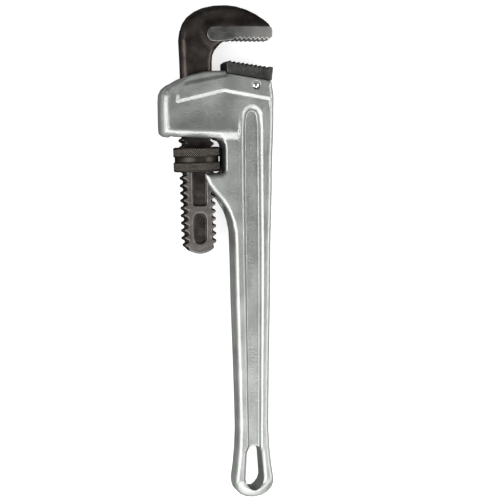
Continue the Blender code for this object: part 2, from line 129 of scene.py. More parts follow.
# Handle channel: height, half width at the lip, wall width, depth.
CHANNEL = ((-172.0, 6.5, 2.6, 3.6), (-152.0, 6.7, 2.7, 3.7), (-120.0, 7.1, 2.8, 3.9),
           (-60.0, 8.0, 3.2, 4.2), (5.0, 8.8, 3.5, 4.4), (60.0, 9.0, 3.7, 4.5),
           (106.0, 9.0, 3.8, 4.5), (123.6, 9.0, 6.5, 4.4))
CHANNEL_WALL = ((0.0, 0.0), (0.06, 0.015), (0.16, 0.06), (0.48, 0.27), (0.58, 0.37),
                (0.84, 0.87), (0.92, 0.97), (1.0, 1.0))
CHANNEL_CENTRE = 28.2
CHANNEL_TOP = 123.6
HANG_HOLE = ((-160.6, 1.8), (-162.0, 4.3), (-165.5, 5.8), (-176.0, 6.6), (-187.0, 7.3),
             (-191.5, 6.4), (-194.6, 4.2), (-196.3, 1.6))


# ---------------------------------------------------------------- distance functions
def smooth_outline(points, step=1.6, rounds=2):
    """Cut the corners of a closed outline, after splitting its edges into short pieces."""
    fine = []
    for (x0, y0), (x1, y1) in zip(points, points[1:] + points[:1]):
        count = max(1, math.ceil(math.hypot(x1 - x0, y1 - y0) / step))
        fine += [(x0 + (x1 - x0) * i / count, y0 + (y1 - y0) * i / count) for i in range(count)]
    ring = np.array(fine)
    for _ in range(rounds):
        after = np.roll(ring, -1, axis=0)
        ring = np.stack((ring * 0.75 + after * 0.25, ring * 0.25 + after * 0.75), axis=1)
        ring = ring.reshape(-1, 2)
    return ring


class Outline:
    """Signed distance to a closed outline, negative inside, read from a fine table."""

    def __init__(self, ring):
        ring = np.asarray(ring, float)
        self.low = ring.min(axis=0) - TABLE_BAND
        size = ((ring.max(axis=0) + TABLE_BAND - self.low) / TABLE_STEP).astype(int) + 2
        xs = self.low[0] + TABLE_STEP * np.arange(size[0])
        ys = self.low[1] + TABLE_STEP * np.arange(size[1])
        near = np.full((size[0], size[1]), TABLE_BAND ** 2)
        flips = np.zeros((size[0] + 1, size[1]), np.int32)
        for (ax, ay), (bx, by) in zip(ring, np.roll(ring, -1, axis=0)):
            box = [(min(ax, bx) - TABLE_BAND, max(ax, bx) + TABLE_BAND, self.low[0], size[0]),
                   (min(ay, by) - TABLE_BAND, max(ay, by) + TABLE_BAND, self.low[1], size[1])]
            cut = [slice(max(0, int((lo - base) / TABLE_STEP)),
                         min(n, int((hi - base) / TABLE_STEP) + 2)) for lo, hi, base, n in box]
            wx = xs[cut[0], None] - ax
            wy = ys[None, cut[1]] - ay
            ex, ey = bx - ax, by - ay
            t = np.clip((wx * ex + wy * ey) / (ex * ex + ey * ey), 0.0, 1.0)
            near[cut[0], cut[1]] = np.minimum(near[cut[0], cut[1]],
                                              (wx - ex * t) ** 2 + (wy - ey * t) ** 2)
            if ay != by:
                rows = np.nonzero((ay > ys) != (by > ys))[0]
                cross = ax + (ys[rows] - ay) * ex / ey
                np.add.at(flips, (np.ceil((cross - self.low[0]) / TABLE_STEP).astype(int), rows), 1)
        inside = np.cumsum(flips[:-1], axis=0) % 2 == 1
        self.table = np.where(inside, -1.0, 1.0) * np.sqrt(near)

    def __call__(self, x, y):
        u = np.clip((x - self.low[0]) / TABLE_STEP, 0.0, self.table.shape[0] - 1.001)
        v = np.clip((y - self.low[1]) / TABLE_STEP, 0.0, self.table.shape[1] - 1.001)
        i, j = u.astype(int), v.astype(int)
        i, j, u, v = np.broadcast_arrays(i, j, u - i, v - j)
        t = self.table
        return ((t[i, j] * (1 - u) + t[i + 1, j] * u) * (1 - v)
                + (t[i, j + 1] * (1 - u) + t[i + 1, j + 1] * u) * v)


def smax(a, b, r):
    """Larger of two distances, with the corner between them rounded."""
    gap = np.maximum(r - np.abs(a - b), 0.0)
    return np.maximum(a, b) + gap * gap * (0.25 / r)


def smin(a, b, r):
    """Smaller of two distances, with the corner between them filled."""
    return -smax(-a, -b, r)


def plate(flat, height, r):
    """Outline pushed up to a height, with its upper edge rounded to radius r."""
    a, b = flat + r, height + r
    return (np.minimum(np.maximum(a, b), 0.0)
            + np.hypot(np.maximum(a, 0.0), np.maximum(b, 0.0)) - r)


def ease(t):
    """0 below 0, 1 above 1, smooth between."""
    t = np.clip(t, 0.0, 1.0)
    return t * t * (3.0 - 2.0 * t)


def ramp(t, e=0.22):
    """Straight slope from 0 to 1 with its two corners rounded."""
    low = np.clip(t + e, 0.0, 2.0 * e) ** 2 / (4.0 * e)
    high = np.clip(1.0 + e - t, 0.0, 2.0 * e) ** 2 / (4.0 * e)
    middle = np.clip(t, e, 1.0 - e)
    return np.where(t < e, low, np.where(t > 1.0 - e, 1.0 - high, middle))


def waves(x, y, size, seed):
    """Slow unevenness between -1 and 1."""
    turn = np.random.default_rng(seed)
    total = 0.0
    for _ in range(5):
        angle, phase, stretch = turn.uniform(0.0, 6.283, 3)
        length = size * (0.7 + 0.6 * stretch / 6.283)
        total = total + np.sin((x * math.cos(angle) + y * math.sin(angle)) * 6.283 / length + phase)
    return total / 5.0


def column(table, index):
    """A table's first column and one other, as np.interp takes them."""
    return [row[0] for row in table], [row[index] for row in table]


def subdivide(points):
    """Split an open outline's longer edges."""
    fine = []
    for (x0, y0), (x1, y1) in zip(points, points[1:]):
        count = max(1, math.ceil(math.hypot(x1 - x0, y1 - y0) / 4.0))
        fine += [(x0 + (x1 - x0) * i / count, y0 + (y1 - y0) * i / count) for i in range(count)]
    return fine + [points[-1]]


def round_corners(points):
    """Cut an open outline's inner corners once, keeping its ends."""
    cut = [points[0]]
    for (x0, y0), (x1, y1) in zip(points, points[1:]):
        cut += [(x0 * 0.8 + x1 * 0.2, y0 * 0.8 + y1 * 0.2),
                (x0 * 0.2 + x1 * 0.8, y0 * 0.2 + y1 * 0.8)]
    return cut + [points[-1]]


def tooth_row(first, last, count, depth):
    """Saw-tooth points with small flats on the tips."""
    (x0, y0), (x1, y1) = first, last
    points = []
    for i in range(count):
        for part, rise in ((0.0, 0.0), (0.06, 0.0), (0.60, 1.0), (0.68, 1.0)):
            a = (i + part) / count
            points.append((x0 + (x1 - x0) * a, y0 + (y1 - y0) * a + rise * depth))
    points.append((x1, y1))
    return points


def along_shank(x, y):
    """Distance up the shank's axis from the nut's centre, and distance to its right."""
    dx, dy = x - NUT_CENTRE[0], y - NUT_CENTRE[1]
    return dy * math.cos(LEAN) - dx * math.sin(LEAN), dx * math.cos(LEAN) + dy * math.sin(LEAN)


body = Outline(smooth_outline(HANDLE_OUTLINE))
panel = Outline(smooth_outline(PANEL_OUTLINE, 1.2, 2))
hole = Outline(smooth_outline([(GRIP_CENTRE - w, y) for y, w in HANG_HOLE]
                              + [(GRIP_CENTRE + w, y) for y, w in reversed(HANG_HOLE)], 1.6, 3))
lip = [(CHANNEL_CENTRE + w, y) for y, w, _, _ in CHANNEL[:-1]]
for degrees in range(0, 181, 10):
    lip.append((CHANNEL_CENTRE + 9.0 * math.cos(math.radians(degrees)),
                CHANNEL_TOP - 9.0 + 9.0 * math.sin(math.radians(degrees))))
lip += [(CHANNEL_CENTRE - w, y) for y, w, _, _ in reversed(CHANNEL[:-1])]
channel = Outline(smooth_outline(lip, 2.0, 2))
hook_outline = Outline(smooth_outline(HOOK_OUTLINE, 2.2, 3))
strip_side = Outline(subdivide(tooth_row((13.0, 175.4), (43.0, 175.4), 8, 2.0))
                     + subdivide(round_corners(STRIP_TOP)))


def edge(x, y):
    """Distance to the casting's outline at its parting line."""
    grown = ease((84.0 - y) / 30.0) * ease((x - 8.0) / 4.0) * ease((y + 203.0) / 10.0)
    return body(x, y) - 0.6 * grown


def below_housing(x, y):
    """1 along the housing's edge over the nut's window, 0 elsewhere."""
    return (ease((105.0 - y) / 3.0) * ease((y - 84.0) / 6.0) * ease((5.0 - x) / 5.0)
            * ease((x + 52.0) / 24.0))


def cast_half(x, y):
    """Half thickness of the casting."""
    # The grip tapers, and the housing is thicker, most of all along its lower edge.
    half = np.interp(y, *column(GRIP_TAPER, 1)) + 0.0 * x
    block = ease((18.3 - x) / 3.0)
    step = ramp((y - 95.2) / 6.0, 0.2)
    half = half + 0.5 * (block * step + (1.0 - block) * ease((y - 84.0) / 26.0))
    flare = np.clip((118.5 - y) / 15.0, 0.0, 1.0) ** 2
    half = half + 1.3 * flare * step * block * ease((x + 48.0) / 14.0)
    half = half - 0.6 * step * (1.0 - ease((x + 47.0) / 14.0))
    half = half - 0.4 * block * (1.0 - step) * ease((y - 10.0) / 50.0)
    # The raised panel runs out to the right-hand edge.
    rise = ramp(-panel(x, y) / 2.6 + 0.1, 0.14)
    half = half + PANEL_RISE * np.maximum(rise, ease((x - 42.0) / 1.5) * ease((y - 116.0) / 12.0))
    # Bevels over the nut's window and round the handle's lower end.
    half = half - 3.0 * below_housing(x, y) * (1.0 - np.clip(-edge(x, y) / 6.6, 0.0, 1.0)) ** 1.5
    end = ease((-187.0 - y) / 9.0)
    half = half - 3.2 * end * (1.0 - np.clip(-edge(x, y) / 8.2, 0.0, 1.0)) ** 1.4
    # The channel, or the hanging hole's chamfer where that is deeper, and slow unevenness.
    depth = np.interp(y, *column(CHANNEL, 3))
    width = np.interp(y, *column(CHANNEL, 2))
    sunk = depth * np.interp(-channel(x, y) / width, *column(CHANNEL_WALL, 1))
    half = half - np.maximum(sunk, 0.85 * (1.0 - end) * np.clip(2.9 - hole(x, y), 0.0, 2.9))
    return half + 0.06 * waves(x, y, 22.0, 3)


def cast_round(x, y):
    """Radius of the casting's outer edges."""
    r = 3.9 + 0.0 * x + 0.0 * y
    # Rounder on the housing's left, tighter at the window, the jaws, the web and the lower end.
    r = r + 2.9 * ease((-30.0 - x) / 10.0) * ease((y - 92.0) / 8.0) * ease((142.0 - y) / 10.0)
    r = r - 1.7 * below_housing(x, y)
    r = r - 2.3 * ease((y - 137.0) / 5.0) * ease((x + 34.0) / 10.0)
    r = r - 1.1 * ease((x - 5.0) / 3.0) * ease((y - 141.0) / 3.0)
    r = r - 1.6 * ease((x - 1.0) / 4.0) * ease((12.0 - x) / 4.0) * ease((y - 62.0) / 6.0) * ease(
        (96.0 - y) / 5.0)
    r = r - 1.9 * ease((-187.0 - y) / 9.0)
    r = r - 2.9 * ease((5.0 - hole(x, y)) / 2.0)
    return np.maximum(r, 0.45)


def casting(x, y, z):
    """Handle and housing."""
    depth = np.abs(z)
    seam = 0.14 * ease((depth - 0.5) / 0.5)
    drafted_hole = 0.07 * np.maximum(9.0 - depth, 0.0) - hole(x, y)
    flat = smax(edge(x, y), drafted_hole, 0.3) + DRAFT * np.maximum(depth - 1.0, 0.0) + seam
    f = plate(flat, depth - cast_half(x, y), cast_round(x, y))
    walls = smax(np.abs(x + 19.9) - 18.9, depth - PASSAGE_HALF, 2.0)
    f = smax(f, -np.maximum(walls, 86.0 - y), 0.9)
    slope = ((x - FORK_RIGHT) * 11.0 + (y - 64.0) * 3.0) / 11.4
    fork = smax(np.maximum(x - FORK_RIGHT, slope), depth - FORK_HALF, 3.0)
    fork = smax(fork, y - 75.0, 2.0)
    f = smax(f, -fork, 0.9)
    slot = np.maximum(np.maximum(np.abs(x - 28.0) - 12.3, 131.7 - y), depth - SLOT_HALF)
    f = smax(f, -slot, 0.5)
    pin = np.hypot(x - PIN_CENTRE[0], y - PIN_CENTRE[1]) - PIN_RADIUS - PIN_FIT
    f = smax(f, -pin, 0.1)
    pocket = np.maximum(np.hypot(y - SPRING_Y, z) - 4.6, np.abs(x - SPRING_X) - 4.4)
    f = smax(f, -pocket, 0.5)
    rivet_hole = np.maximum(np.hypot(y - RIVET_Y, z) - 1.55, np.abs(x - SPRING_X) - 3.4)
    return np.maximum(f, -rivet_hole)


def thread(s, side, z, crest, root):
    """Radius of the shank's thread at a place round the axis."""
    turn = np.arctan2(side, z) / (2.0 * math.pi) - 0.25
    t = (s + 42.3) / THREAD_PITCH - turn
    off = np.abs(t - np.round(t)) * THREAD_PITCH
    return crest - (crest - root) * ramp((off - 0.75) / 1.45, 0.3)


def hook(x, y, z):
    """Hook jaw: head, neck and threaded shank."""
    depth = np.abs(z)
    d = hook_outline(x, y)
    seam = 0.16 * ease((depth - 0.6) / 0.6)
    r = 4.5 - 1.6 * ease((x - 20.0) / 20.0)
    thin = 0.5 * ease((x + 10.0) / 16.0) * ease((y - 188.0) / 8.0)
    face = HOOK_HALF + 0.16 * waves(x, y, 30.0, 8) - thin
    face = face + HOOK_RISE * (1.0 - ease(strip_side(x, y) / 7.0))
    head = plate(d + DRAFT * np.maximum(depth - 1.0, 0.0) + seam, depth - face, r)
    s, side = along_shank(x, y)
    rod = (np.hypot(side, z) - thread(s, side, z, THREAD_CREST, THREAD_ROOT)) * 0.7
    shank = smax(rod, depth - SHANK_HALF, 0.6)
    below = -60.9 - s
    end = np.where(below > 0.0, np.hypot(side, np.maximum(below, 0.0)), np.abs(side)) - 16.0
    shank = np.maximum(smax(shank, end, 1.4), s - 34.0)
    f = smin(head, shank, 1.5)
    # A long round pocket at the shank's foot and a square one above it.
    low = np.hypot(x + 15.4, y - np.clip(y, 16.4, 30.6)) - 5.7
    qx, qy = np.abs(x + 15.5) - 3.5, np.abs(y - 59.7) - 15.4
    high = np.hypot(np.maximum(qx, 0.0), np.maximum(qy, 0.0)) - 2.6
    sunk = np.minimum(low, high)
    sunk = smax(sunk + 0.35 * (SHANK_HALF - depth), 5.65 - depth, 0.7)
    return smax(f, -sunk, 0.6)


# ---------------------------------------------------------------- meshes
def surface(field, xs, ys, zs, sharpen=2):
    """Vertices and quads of a distance function's zero level, on a grid of cells."""
    values = field(xs[:, None, None], ys[None, :, None], zs[None, None, :])
    values = np.broadcast_to(values, (len(xs), len(ys), len(zs))).astype(np.float32)
    solid = values < 0.0
    count = np.zeros([n - 1 for n in solid.shape], np.int8)
    for a in (0, 1):
        for b in (0, 1):
            for c in (0, 1):
                count += solid[a:a + count.shape[0], b:b + count.shape[1], c:c + count.shape[2]]
    active = (count > 0) & (count < 8)
    cells = np.argwhere(active)
    index = np.full(active.shape, -1, np.int64)
    index[active] = np.arange(len(cells))
    total = np.zeros((len(cells), 3))
    hits = np.zeros(len(cells))
    for axis in range(3):
        others = [k for k in range(3) if k != axis]
        for a in (0, 1):
            for b in (0, 1):
                start = cells.copy()
                start[:, others[0]] += a
                start[:, others[1]] += b
                stop = start.copy()
                stop[:, axis] += 1
                v0, v1 = values[tuple(start.T)], values[tuple(stop.T)]
                cross = (v0 < 0.0) != (v1 < 0.0)
                part = np.where(cross, v0 / np.where(cross, v0 - v1, 1.0), 0.0)
                spot = np.zeros((len(cells), 3))
                spot[:, axis] = part
                spot[:, others[0]] = a
                spot[:, others[1]] = b
                total += spot * cross[:, None]
                hits += cross
    place = total / hits[:, None]
    points = np.empty((len(cells), 3))
    for axis, grid in enumerate((xs, ys, zs)):
        i = cells[:, axis]
        points[:, axis] = grid[i] + place[:, axis] * (grid[i + 1] - grid[i])
    quads = []
    for axis in range(3):
        u, v = (axis + 1) % 3, (axis + 2) % 3
        low = [slice(0, n) for n in solid.shape]
        high = [slice(0, n) for n in solid.shape]
        low[axis], high[axis] = slice(0, -1), slice(1, None)
        change = np.argwhere(solid[tuple(low)] != solid[tuple(high)])
        keep = (change[:, u] > 0) & (change[:, v] > 0)
        keep &= (change[:, u] < solid.shape[u] - 1) & (change[:, v] < solid.shape[v] - 1)
        change = change[keep]
        corners = []
        for du, dv in ((1, 1), (0, 1), (0, 0), (1, 0)):
            cell = change.copy()
            cell[:, u] -= du
            cell[:, v] -= dv
            corners.append(index[tuple(cell.T)])
        quad = np.stack(corners, axis=1)
        outward = solid[tuple(change.T)]
        quads.append(np.where(outward[:, None], quad, quad[:, ::-1]))
    for _ in range(sharpen):
        base = field(*points.T)
        slope = np.empty_like(points)
        for axis in range(3):
            moved = points.copy()
            moved[:, axis] += 0.02
            slope[:, axis] = (field(*moved.T) - base) / 0.02
        length = np.maximum((slope ** 2).sum(axis=1), 0.05)
        step = np.clip(base / length, -0.4, 0.4)
        points = points - slope * step[:, None]
    return points, np.concatenate(quads)


def add_mesh(name, points, faces, material, attributes=None):
    """Smooth-shaded object from points in millimetres and faces."""
    mesh = bpy.data.meshes.new(name)
    points = np.asarray(points, float)
    faces = np.asarray(faces)
    mesh.vertices.add(len(points))
    mesh.vertices.foreach_set("co", ((points + (0.0, 0.0, MID_Z)) * MM).astype(np.float32).ravel())
    mesh.loops.add(faces.size)
    mesh.loops.foreach_set("vertex_index", faces.astype(np.int32).ravel())
    mesh.polygons.add(len(faces))
    width = faces.shape[1]
    mesh.polygons.foreach_set("loop_start", np.arange(0, faces.size, width, dtype=np.int32))
    mesh.polygons.foreach_set("loop_total", np.full(len(faces), width, np.int32))
    mesh.update(calc_edges=True)
    mesh.validate()
    mesh.shade_smooth()
    for key, values in (attributes or {}).items():
        mesh.attributes.new(key, "FLOAT", "POINT").data.foreach_set(
            "value", np.asarray(values, np.float32))
    mesh.materials.append(material)
    obj = bpy.data.objects.new(name, mesh)
    bpy.context.scene.collection.objects.link(obj)
    return obj


def grid_faces(rows, count, closed=True):
    """Quads between rows of count points, the rows being loops when closed."""
    faces = []
    around = count if closed else count - 1
    i = np.arange(around)
    j = (i + 1) % count
    for row in range(rows - 1):
        a = row * count
        faces.append(np.stack((a + i, a + j, a + count + j, a + count + i), axis=1))
    return np.concatenate(faces)


def tidy_normals(obj, sharp):
    """Close open ends, point the faces outwards and keep edges above an angle sharp."""
    bm = bmesh.new()
    bm.from_mesh(obj.data)
    bmesh.ops.holes_fill(bm, edges=[e for e in bm.edges if e.is_boundary])
    bmesh.ops.recalc_face_normals(bm, faces=bm.faces)
    bm.to_mesh(obj.data)
    bm.free()
    obj.data.set_sharp_from_angle(angle=math.radians(sharp))
    return obj


def bevelled(name, bm, material, width, segments=2, angle=30.0):
    """Object from a bmesh in millimetres whose sharp edges get a small round."""
    bmesh.ops.recalc_face_normals(bm, faces=bm.faces)
    sharp = [e for e in bm.edges if e.is_manifold and e.calc_face_angle() > math.radians(angle)]
    bmesh.ops.bevel(bm, geom=sharp, offset=width, segments=segments, profile=0.5,
                    affect="EDGES", clamp_overlap=True)
    bmesh.ops.transform(bm, matrix=Matrix.Scale(MM, 4) @ Matrix.Translation((0, 0, MID_Z)),
                        verts=bm.verts)
    mesh = bpy.data.meshes.new(name)
    bm.to_mesh(mesh)
    bm.free()
    mesh.shade_smooth()
    mesh.set_sharp_from_angle(angle=math.radians(40.0))
    mesh.materials.append(material)
    obj = bpy.data.objects.new(name, mesh)
    bpy.context.scene.collection.objects.link(obj)
    return obj


def prism(bm, outline, low, high):
    """Outline in millimetres pushed from one height to another."""
    verts = [bm.verts.new((x, y, low)) for x, y in outline]
    face = bm.faces.new(verts)
    grown = bmesh.ops.extrude_face_region(bm, geom=[face])
    moved = [item for item in grown["geom"] if isinstance(item, bmesh.types.BMVert)]
    bmesh.ops.translate(bm, vec=(0.0, 0.0, high - low), verts=moved)


# ---------------------------------------------------------------- materials
def add_node(tree, kind, sockets=None, **settings):
    """New shader node, with its sockets linked or set."""
    node = tree.nodes.new(kind)
    for key, value in settings.items():
        setattr(node, key, value)
    for key, value in (sockets or {}).items():
        if isinstance(value, bpy.types.NodeSocket):
            tree.links.new(value, node.inputs[key])
        else:
            node.inputs[key].default_value = value
    return node


def remap(tree, value, low, high, to_low=0.0, to_high=1.0):
    """Value moved from one range to another and held there."""
    node = add_node(tree, "ShaderNodeMapRange", {
        "Value": value, "From Min": low, "From Max": high, "To Min": to_low, "To Max": to_high})
    return node.outputs["Result"]


def mix(tree, fac, one, two):
    """Colour between two colours."""
    node = add_node(tree, "ShaderNodeMixRGB", {"Fac": fac, "Color1": one, "Color2": two})
    return node.outputs["Color"]


def maths(tree, operation, one, two):
    """Result of one sum on two values."""
    node = add_node(tree, "ShaderNodeMath", {0: one, 1: two}, operation=operation)
    return node.outputs[0]


def noise(tree, coords, scale, detail=3.0, rough=0.55, stretch=(1.0, 1.0, 1.0)):
    """Noise in the piece's own coordinates, scale being its waves to the metre."""
    mapped = add_node(tree, "ShaderNodeMapping", {
        "Vector": coords, "Scale": [scale * part for part in stretch]})
    node = add_node(tree, "ShaderNodeTexNoise", {
        "Vector": mapped.outputs["Vector"], "Scale": 1.0, "Detail": detail, "Roughness": rough})
    return node.outputs["Fac"]


def start_material(name):
    """New material, its node tree, its shader and the piece's own coordinates."""
    material = bpy.data.materials.new(name)
    material.use_nodes = True
    tree = material.node_tree
    coords = add_node(tree, "ShaderNodeTexCoord").outputs["Object"]
    return material, tree, tree.nodes["Principled BSDF"], coords


def rgba(r, g, b):
    """Opaque colour."""
    return (r, g, b, 1.0)


def worn_edges(tree, coords, low, high, scale):
    """Mask that is high on edges, broken up by noise."""
    point = add_node(tree, "ShaderNodeNewGeometry").outputs["Pointiness"]
    edge = remap(tree, point, low, high)
    broken = remap(tree, noise(tree, coords, scale, 4.0, 0.65), 0.35, 0.6)
    return maths(tree, "MULTIPLY", edge, broken)


def cast_material():
    """Sand-cast aluminium under a clear grey coat."""
    material, tree, shader, coords = start_material("cast_aluminium_look")
    blotch = noise(tree, coords, 55.0, 3.0)
    fine = noise(tree, coords, 900.0, 3.0, 0.6)
    speck = noise(tree, coords, 1900.0, 2.0, 0.5)
    tone = mix(tree, remap(tree, blotch, 0.35, 0.65), rgba(0.325, 0.338, 0.322),
               rgba(0.400, 0.413, 0.397))
    tone = mix(tree, remap(tree, speck, 0.60, 0.78, 0.0, 0.35), tone, rgba(0.62, 0.63, 0.61))
    tone = mix(tree, remap(tree, fine, 0.40, 0.24, 0.0, 0.35), tone, rgba(0.26, 0.27, 0.26))
    wear = worn_edges(tree, coords, 0.53, 0.58, 160.0)
    tone = mix(tree, maths(tree, "MULTIPLY", wear, 0.45), tone, rgba(0.66, 0.67, 0.65))
    tree.links.new(tone, shader.inputs["Base Color"])
    shader.inputs["Metallic"].default_value = 0.88
    shader.inputs["Specular Tint"].default_value = (0.15, 0.15, 0.15, 1.0)
    rough = remap(tree, blotch, 0.3, 0.7, 0.36, 0.46)
    tree.links.new(rough, shader.inputs["Roughness"])
    grain = add_node(tree, "ShaderNodeBump", {
        "Height": fine, "Strength": 0.6, "Distance": 0.00025})
    pits = add_node(tree, "ShaderNodeBump", {
        "Height": noise(tree, coords, 640.0, 2.0, 0.5), "Strength": 0.5, "Distance": 0.00038,
        "Normal": grain.outputs["Normal"]})
    tree.links.new(pits.outputs["Normal"], shader.inputs["Normal"])
    return material


def hook_material():
    """Black-oxide forging whose flat shank faces are ground below the nut; above the nut they are
    painted dark as painted shade.
    """
    material, tree, shader, coords = start_material("hook_steel_look")
    split = add_node(tree, "ShaderNodeSeparateXYZ", {"Vector": coords})
    blotch = noise(tree, coords, 70.0, 4.0, 0.6)
    fine = noise(tree, coords, 700.0, 3.0)
    dark = mix(tree, remap(tree, blotch, 0.35, 0.68), rgba(0.036, 0.031, 0.029),
               rgba(0.080, 0.069, 0.062))
    wear = worn_edges(tree, coords, 0.52, 0.57, 180.0)
    dark = mix(tree, maths(tree, "MULTIPLY", wear, 0.7), dark, rgba(0.21, 0.185, 0.165))
    brushed = noise(tree, coords, 1.0, 3.0, 0.6, (2600.0, 160.0, 2600.0))
    ground = mix(tree, remap(tree, brushed, 0.3, 0.7), rgba(0.135, 0.128, 0.120),
                 rgba(0.22, 0.208, 0.196))
    height = maths(tree, "ABSOLUTE", maths(tree, "SUBTRACT", split.outputs["Z"], MID_Z * MM), 0.0)
    on_face = remap(tree, height, 0.00685, 0.00712)
    # Painted shade: above the nut the ground faces take the dark oxide colour, standing in for the
    # shade between the nut and the housing.
    ground_until_painted_shade = remap(tree, split.outputs["Y"], 0.086, 0.080)
    mask = maths(tree, "MULTIPLY", on_face, ground_until_painted_shade)
    tree.links.new(mix(tree, mask, dark, ground), shader.inputs["Base Color"])
    shader.inputs["Metallic"].default_value = 0.9
    shader.inputs["Specular Tint"].default_value = (0.12, 0.12, 0.12, 1.0)
    rough = remap(tree, blotch, 0.3, 0.7, 0.33, 0.46)
    tree.links.new(rough, shader.inputs["Roughness"])
    bump = add_node(tree, "ShaderNodeBump", {
        "Height": fine, "Strength": 0.35, "Distance": 0.00018})
    slow = add_node(tree, "ShaderNodeBump", {
        "Height": noise(tree, coords, 120.0, 2.0), "Strength": 0.5, "Distance": 0.0010,
        "Normal": bump.outputs["Normal"]})
    tree.links.new(slow.outputs["Normal"], shader.inputs["Normal"])
    return material


def steel_material(name, dark, light, wear_and_sheen_tone, rough, stretch=(1.0, 1.0, 1.0), scale=900.0,
                   edge=(0.52, 0.58), painted_sheen_span=None):
    """Steel with grain along one direction, brighter worn edges and, if asked, a painted sheen that
    lightens it towards one end.
    """
    material, tree, shader, coords = start_material(name)
    blotch = noise(tree, coords, 90.0, 4.0, 0.6)
    grain = noise(tree, coords, scale, 3.0, 0.6, stretch)
    both = maths(tree, "ADD", maths(tree, "MULTIPLY", blotch, 0.5),
                 maths(tree, "MULTIPLY", grain, 0.5))
    tone = mix(tree, remap(tree, both, 0.38, 0.62), rgba(*dark), rgba(*light))
    # Painted highlight: the colour is lightened along X over the given span, standing in for a
    # sheen on that end; the same light tone serves the worn edges.
    if painted_sheen_span:
        along = add_node(tree, "ShaderNodeSeparateXYZ", {"Vector": coords}).outputs["X"]
        tone = mix(tree, remap(tree, along, *painted_sheen_span), tone, rgba(*wear_and_sheen_tone))
    wear = worn_edges(tree, coords, edge[0], edge[1], 300.0)
    tone = mix(tree, maths(tree, "MULTIPLY", wear, 0.8), tone, rgba(*wear_and_sheen_tone))
    tree.links.new(tone, shader.inputs["Base Color"])
    shader.inputs["Metallic"].default_value = 0.9
    shader.inputs["Specular Tint"].default_value = (0.4, 0.4, 0.4, 1.0)
    tree.links.new(remap(tree, both, 0.35, 0.65, rough[0], rough[1]), shader.inputs["Roughness"])
    bump = add_node(tree, "ShaderNodeBump", {
        "Height": grain, "Strength": 0.4, "Distance": 0.00012})
    tree.links.new(bump.outputs["Normal"], shader.inputs["Normal"])
    return material


def nut_material():
    """Dark oxide steel, polished on the tips of the knurl."""
    material, tree, shader, coords = start_material("nut_steel_look")
    blotch = noise(tree, coords, 110.0, 4.0, 0.6)
    tone = mix(tree, remap(tree, blotch, 0.35, 0.65), rgba(0.026, 0.022, 0.019),
               rgba(0.048, 0.042, 0.037))
    tip = add_node(tree, "ShaderNodeAttribute", attribute_name="tip").outputs["Fac"]
    tone = mix(tree, remap(tree, tip, 0.55, 0.98, 0.0, 0.8), tone, rgba(0.22, 0.205, 0.185))
    wear = worn_edges(tree, coords, 0.54, 0.62, 300.0)
    tone = mix(tree, maths(tree, "MULTIPLY", wear, 0.5), tone, rgba(0.26, 0.24, 0.22))
    tree.links.new(tone, shader.inputs["Base Color"])
    shader.inputs["Metallic"].default_value = 0.9
    shader.inputs["Specular Tint"].default_value = (0.12, 0.12, 0.12, 1.0)
    tree.links.new(remap(tree, blotch, 0.3, 0.7, 0.32, 0.44), shader.inputs["Roughness"])
    bump = add_node(tree, "ShaderNodeBump", {
        "Height": noise(tree, coords, 800.0, 3.0), "Strength": 0.3, "Distance": 0.00012})
    tree.links.new(bump.outputs["Normal"], shader.inputs["Normal"])
    return material


# ---------------------------------------------------------------- pieces
def build_casting():
    """Handle and housing, on a grid that is finer over the housing."""
    xs = np.arange(-48.0, 48.3, 0.6)
    ys = np.concatenate((np.arange(-205.2, 20.0, 0.9), np.arange(20.2, 152.5, 0.6)))
    zs = np.arange(-15.0, 15.1, 0.6)
    points, quads = surface(casting, xs, ys, zs)
    return add_mesh("handle_casting", points, quads, cast_material())


def build_hook():
    """Hook jaw, on a grid that is finer over the thread."""
    xs = np.arange(-31.2, 47.8, 0.5)
    ys = np.concatenate((np.arange(1.4, 112.0, 0.42), np.arange(112.2, 205.2, 0.6)))
    zs = np.linspace(-10.4, 10.4, 43)
    points, quads = surface(hook, xs, ys, zs)
    return add_mesh("hook_jaw_forging", points, quads, hook_material())


